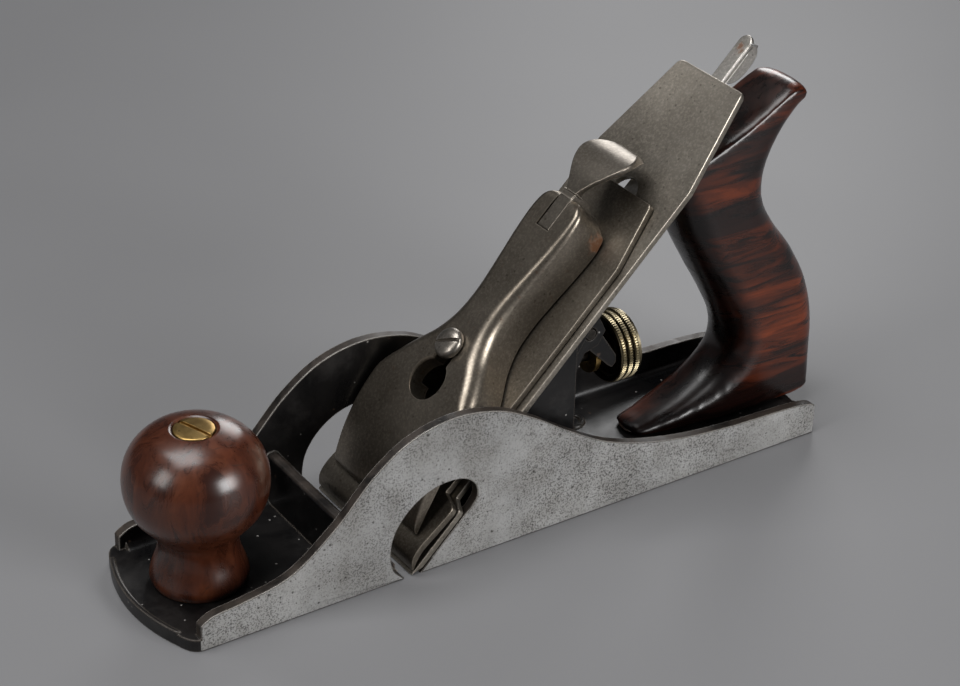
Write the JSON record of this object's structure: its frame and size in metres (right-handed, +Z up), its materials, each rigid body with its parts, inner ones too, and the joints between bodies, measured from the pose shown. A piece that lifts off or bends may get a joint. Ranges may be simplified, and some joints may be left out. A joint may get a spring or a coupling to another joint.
{
  "type": "hand plane",
  "caption": "Bench rabbet hand plane with side openings, full-width T-shaped iron, wooden knob and handle, depth wheel, lateral lever and lever cap.",
  "frame": {"origin": "middle of the sole, on its flat face", "axes": "-X toe, +X heel, +Y right side, +Z up; the sole lies on z = 0"},
  "size_m": [0.2425, 0.054, 0.1308],
  "materials": {
    "ground_iron": "ground faces with fine dark pits, black japanning inside",
    "japanned_iron": "black japanning, worn at the edges",
    "rosewood": "polished rosewood with dark streaks",
    "brass": "aged brass, knurled on the wheel",
    "steel": "aged steel",
    "blade_steel": "ground tool steel with brown patina",
    "cap_steel": "satin cast iron with brown patina and rust at the edges"
  },
  "bodies": {
    "body": {"sole_casting": "ground_iron", "front_knob": "rosewood", "knob_rod": "steel", "knob_nut": "brass", "tote": "rosewood", "tote_rod": "steel", "tote_nut": "brass", "frog_screw_left": "steel", "frog_screw_right": "steel", "frog_washer_left": "steel", "frog_washer_right": "steel"},
    "frog_unit": {"frog": "japanned_iron", "lever_cap_screw": "steel", "depth_stud": "steel", "yoke_pin": "steel", "lateral_rivet": "steel"},
    "depth_carrier": {"depth_hub": "brass"},
    "depth_knob": {"depth_wheel": "brass"},
    "yoke_lever": {"yoke": "japanned_iron"},
    "feed_screw": {"cap_iron_screw": "steel"},
    "cutter": {"cutting_iron": "blade_steel", "cap_iron": "blade_steel"},
    "lateral": {"lateral_lever": "steel", "thumb_tab": "steel", "lateral_disc": "steel"},
    "lever_cap_unit": {"lever_cap": "cap_steel", "cap_spring": "steel", "spring_rivet": "steel", "cam_pin": "steel"},
    "cam": {"cam_lever": "cap_steel"}
  },
  "joints": [
    {"name": "frog_slide", "type": "slide", "parent": "body", "child": "frog_unit", "axis": [-1, 0, 0], "range_m": [0, 0.0012]},
    {"name": "depth_travel", "type": "slide", "parent": "frog_unit", "child": "depth_carrier", "axis": [1, 0, 0], "range_m": [-0.0016, 0.0011]},
    {"name": "depth_wheel_turn", "type": "hinge", "parent": "depth_carrier", "child": "depth_knob", "pos_m": [0.0499, 0, 0.0378], "axis": [1, 0, 0], "range_deg": [-376, 546]},
    {"name": "yoke_rock", "type": "hinge", "parent": "frog_unit", "child": "yoke_lever", "pos_m": [0.03212, 0, 0.05303], "axis": [0, 1, 0], "range_deg": [-4.4, 6.3]},
    {"name": "cutter_feed", "type": "slide", "parent": "frog_unit", "child": "feed_screw", "axis": [0.7071, 0, 0.7071], "range_m": [-0.00106, 0.00152]},
    {"name": "cutter_tilt", "type": "hinge", "parent": "feed_screw", "child": "cutter", "pos_m": [0.01303, 0, 0.05233], "axis": [-0.7071, 0, 0.7071], "range_deg": [-1.7, 1.7]},
    {"name": "lateral_swing", "type": "hinge", "parent": "frog_unit", "child": "lateral", "pos_m": [0.04018, 0, 0.07467], "axis": [-0.7071, 0, 0.7071], "range_deg": [-5, 5]},
    {"name": "lever_cap_slide", "type": "slide", "parent": "frog_unit", "child": "lever_cap_unit", "axis": [0.7071, 0, 0.7071], "range_m": [0, 0.012]},
    {"name": "cam_swing", "type": "hinge", "parent": "lever_cap_unit", "child": "cam", "pos_m": [0.03, 0, 0.08627], "axis": [0, -1, 0], "range_deg": [0, 90]}
  ],
  "couplings": [
    {"joint": "depth_wheel_turn", "follows": "depth_travel", "rad_per_m": -5938.7},
    {"joint": "yoke_rock", "follows": "depth_travel", "rad_per_m": -65.647},
    {"joint": "cutter_feed", "follows": "depth_travel", "ratio": -0.91906},
    {"joint": "cutter_tilt", "follows": "lateral_swing", "ratio": -0.2963}
  ]
}
